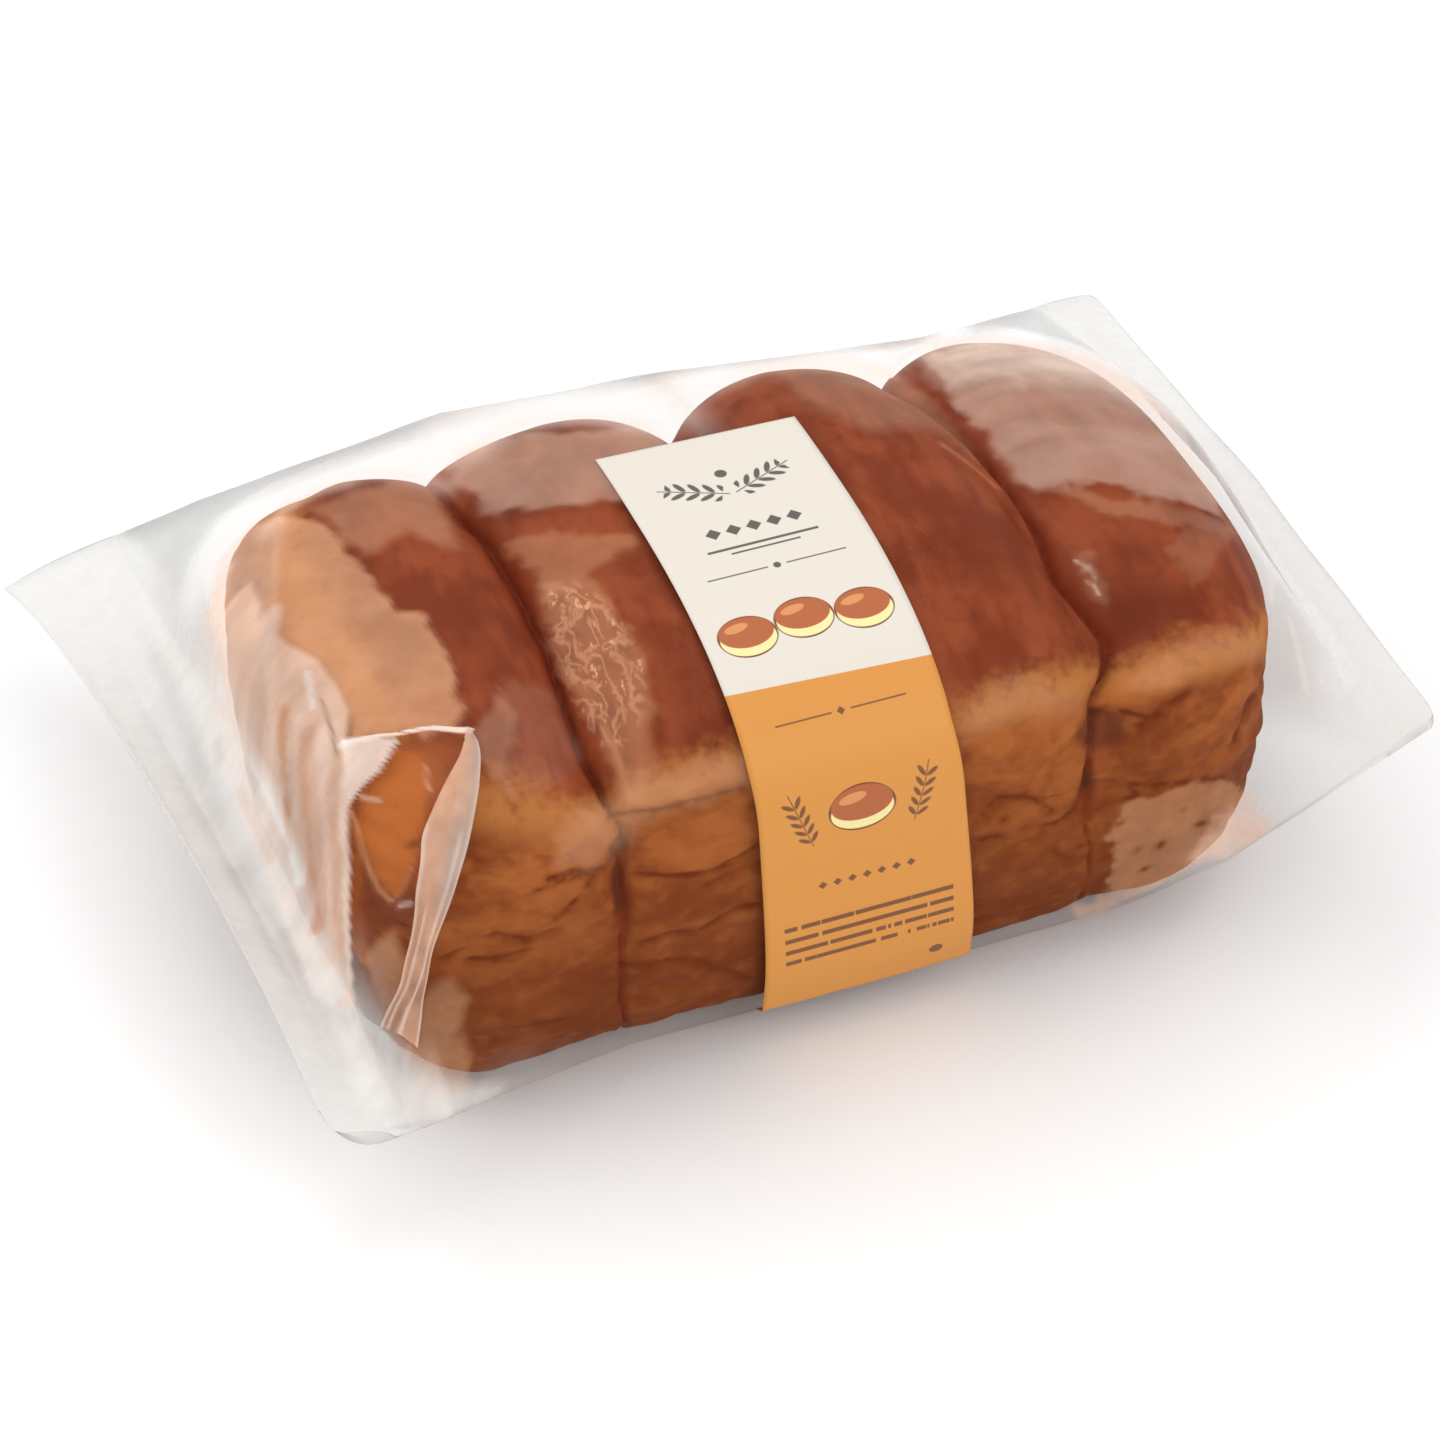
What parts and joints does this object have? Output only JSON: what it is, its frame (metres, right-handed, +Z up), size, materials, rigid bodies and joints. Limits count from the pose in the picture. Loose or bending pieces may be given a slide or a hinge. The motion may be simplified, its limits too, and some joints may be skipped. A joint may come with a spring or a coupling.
{
  "type": "bagged brioche loaf",
  "caption": "Glazed brioche loaf of joined lobes in a clear film bag sealed flat at both ends, with a long paper label down its top and front.",
  "frame": {"origin": "middle of the pack's outline, on the surface that the bag rests on", "axes": "+X along the loaf from its left end seal to its right end seal, +Y from the front to the back, +Z up"},
  "size_m": [0.261, 0.2046, 0.0942],
  "materials": {
    "crust": "baked crust, reddish brown glazed top and lighter golden brown sides, seen through the film",
    "film": "thin clear glossy film with soft creases",
    "label": "smooth matt paper, cream over the top and orange down the front"
  },
  "bodies": {
    "root": {"bag": "crust", "label": "label"}
  },
  "joints": []
}
